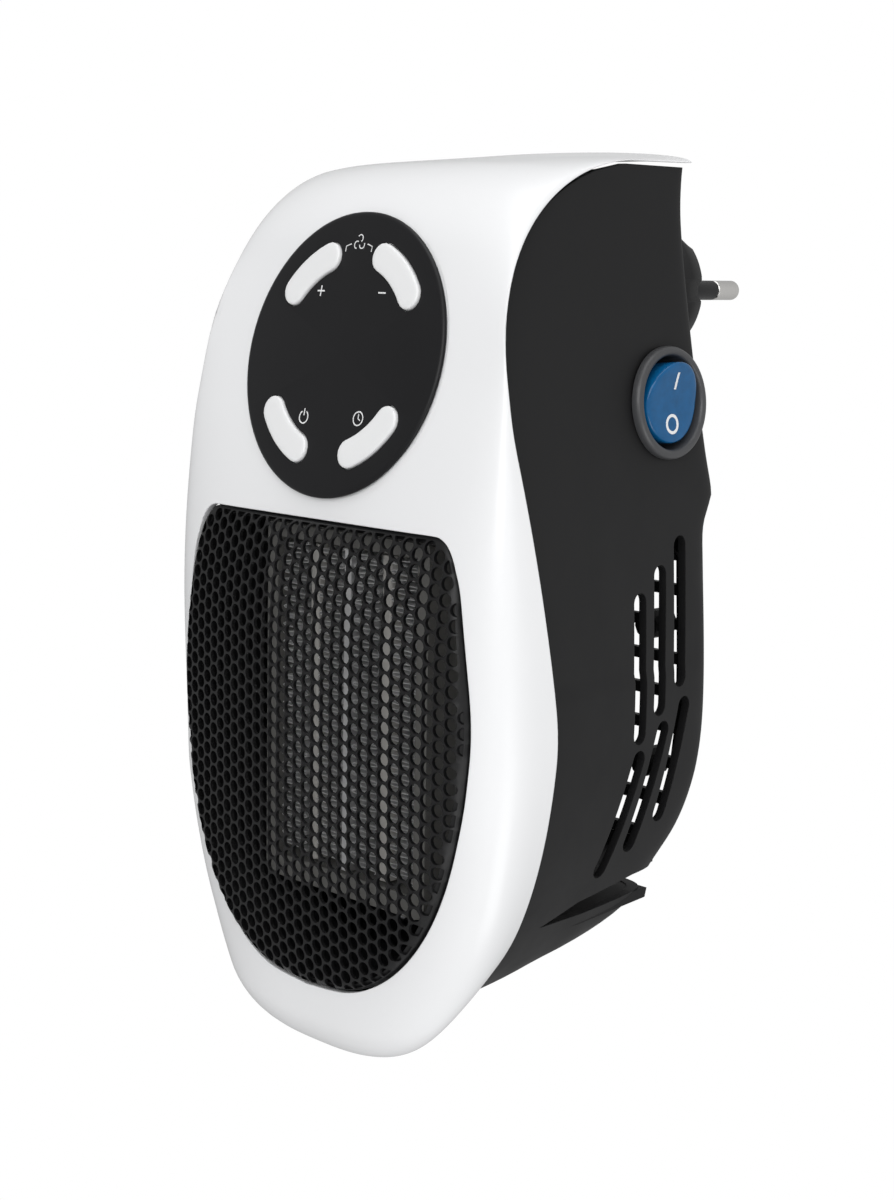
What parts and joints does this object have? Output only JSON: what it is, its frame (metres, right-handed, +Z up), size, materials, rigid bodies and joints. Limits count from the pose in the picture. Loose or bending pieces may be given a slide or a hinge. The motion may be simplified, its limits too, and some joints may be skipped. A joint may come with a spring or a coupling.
{
  "type": "plug-in ceramic fan heater",
  "caption": "Compact wall plug-in fan heater: egg-shaped white front, dark rear housing with a swivelling plug, honeycomb outlet, round key panel and side rocker switch.",
  "frame": {"origin": "centre of the plug's face, between the pins, where it meets the wall socket", "axes": "+Y points into the wall socket along the pins, +X is to the right for someone facing the heater's front, +Z is up"},
  "size_m": [0.111, 0.1344, 0.202],
  "materials": {
    "white_gloss": "white glossy moulded plastic",
    "black_satin": "black satin moulded plastic",
    "black_mesh": "black satin heat-resistant plastic",
    "panel_black": "near-black smooth plastic",
    "key_white": "white smooth plastic",
    "grey_plastic": "dark grey satin plastic",
    "blue_clear": "translucent blue plastic",
    "nickel": "nickel-plated brass, polished",
    "aluminium": "thin rolled aluminium",
    "ceramic": "flat aluminium casing with a grey insulating film",
    "frame_plastic": "light grey heat-resistant plastic",
    "board_green": "green lacquered circuit board",
    "brass": "bare brass",
    "steel": "zinc-plated steel",
    "wire_brown": "brown flexible insulation",
    "wire_blue": "blue flexible insulation",
    "relay_blue": "blue moulded case",
    "capacitor_yellow": "yellow moulded case"
  },
  "bodies": {
    "plug": {"plug_body": "black_satin", "pin_left": "nickel", "pin_right": "nickel", "pin_sleeve_left": "black_mesh", "pin_sleeve_right": "black_mesh", "swivel_retainer": "grey_plastic", "swivel_screw_1": "steel", "swivel_screw_2": "steel"},
    "housing": {"air_duct": "grey_plastic", "back_cover": "black_satin", "board_screw_1": "steel", "board_screw_2": "steel", "case_screw_1": "steel", "case_screw_2": "steel", "case_screw_3": "steel", "centre_electrode": "aluminium", "control_board": "board_green", "control_panel": "panel_black", "cover_screw_1": "steel", "cover_screw_2": "steel", "cover_screw_3": "steel", "cover_screw_4": "steel", "display_module": "panel_black", "fan_shroud": "grey_plastic", "film_capacitor": "capacitor_yellow", "fin_strip_1": "aluminium", "fin_strip_2": "aluminium", "fin_strip_3": "aluminium", "fin_strip_4": "aluminium", "front_grille": "black_mesh", "front_shell": "white_gloss", "heater_frame": "frame_plastic", "lead_live": "wire_brown", "lead_neutral": "wire_blue", "main_board": "board_green", "main_board_screw_1": "steel", "main_board_screw_2": "steel", "motor_bush_front": "brass", "motor_bush_rear": "brass", "motor_can": "steel", "ptc_element_left": "ceramic", "ptc_element_right": "ceramic", "rear_housing": "black_satin", "relay": "relay_blue", "switch_body": "grey_plastic", "switch_terminal_line": "brass", "switch_terminal_load": "brass", "tact_switch_minus": "grey_plastic", "tact_switch_plus": "grey_plastic", "tact_switch_power": "grey_plastic", "tact_switch_timer": "grey_plastic", "thermal_cutout": "black_satin", "thermal_fuse": "nickel"},
    "rocker": {"switch_rocker": "blue_clear"},
    "impeller": {"fan_impeller": "grey_plastic", "motor_shaft": "steel"},
    "key_plus_body": {"key_plus": "key_white"},
    "key_minus_body": {"key_minus": "key_white"},
    "key_power_body": {"key_power": "key_white"},
    "key_timer_body": {"key_timer": "key_white"}
  },
  "joints": [
    {"name": "plug_swivel", "type": "hinge", "parent": "plug", "child": "housing", "pos_m": [0, 0, 0], "axis": [0, 1, 0], "range_deg": [-90, 90]},
    {"name": "rocker_press", "type": "hinge", "parent": "housing", "child": "rocker", "pos_m": [0.04433, -0.04753, -0.02404], "axis": [0.0527, -0.9986, 0], "range_deg": [0, 20]},
    {"name": "plus_press", "type": "slide", "parent": "housing", "child": "key_plus_body", "axis": [0, 0.9755, -0.2199], "range_m": [0, 0.0008], "stiffness_N_per_m": 400},
    {"name": "minus_press", "type": "slide", "parent": "housing", "child": "key_minus_body", "axis": [0, 0.9755, -0.2199], "range_m": [0, 0.0008], "stiffness_N_per_m": 400},
    {"name": "power_press", "type": "slide", "parent": "housing", "child": "key_power_body", "axis": [0, 0.9755, -0.2199], "range_m": [0, 0.0008], "stiffness_N_per_m": 400},
    {"name": "timer_press", "type": "slide", "parent": "housing", "child": "key_timer_body", "axis": [0, 0.9755, -0.2199], "range_m": [0, 0.0008], "stiffness_N_per_m": 400},
    {"name": "fan_spin", "type": "hinge", "parent": "housing", "child": "impeller", "pos_m": [0, -0.068, -0.09], "axis": [0, 1, 0], "continuous": true}
  ]
}
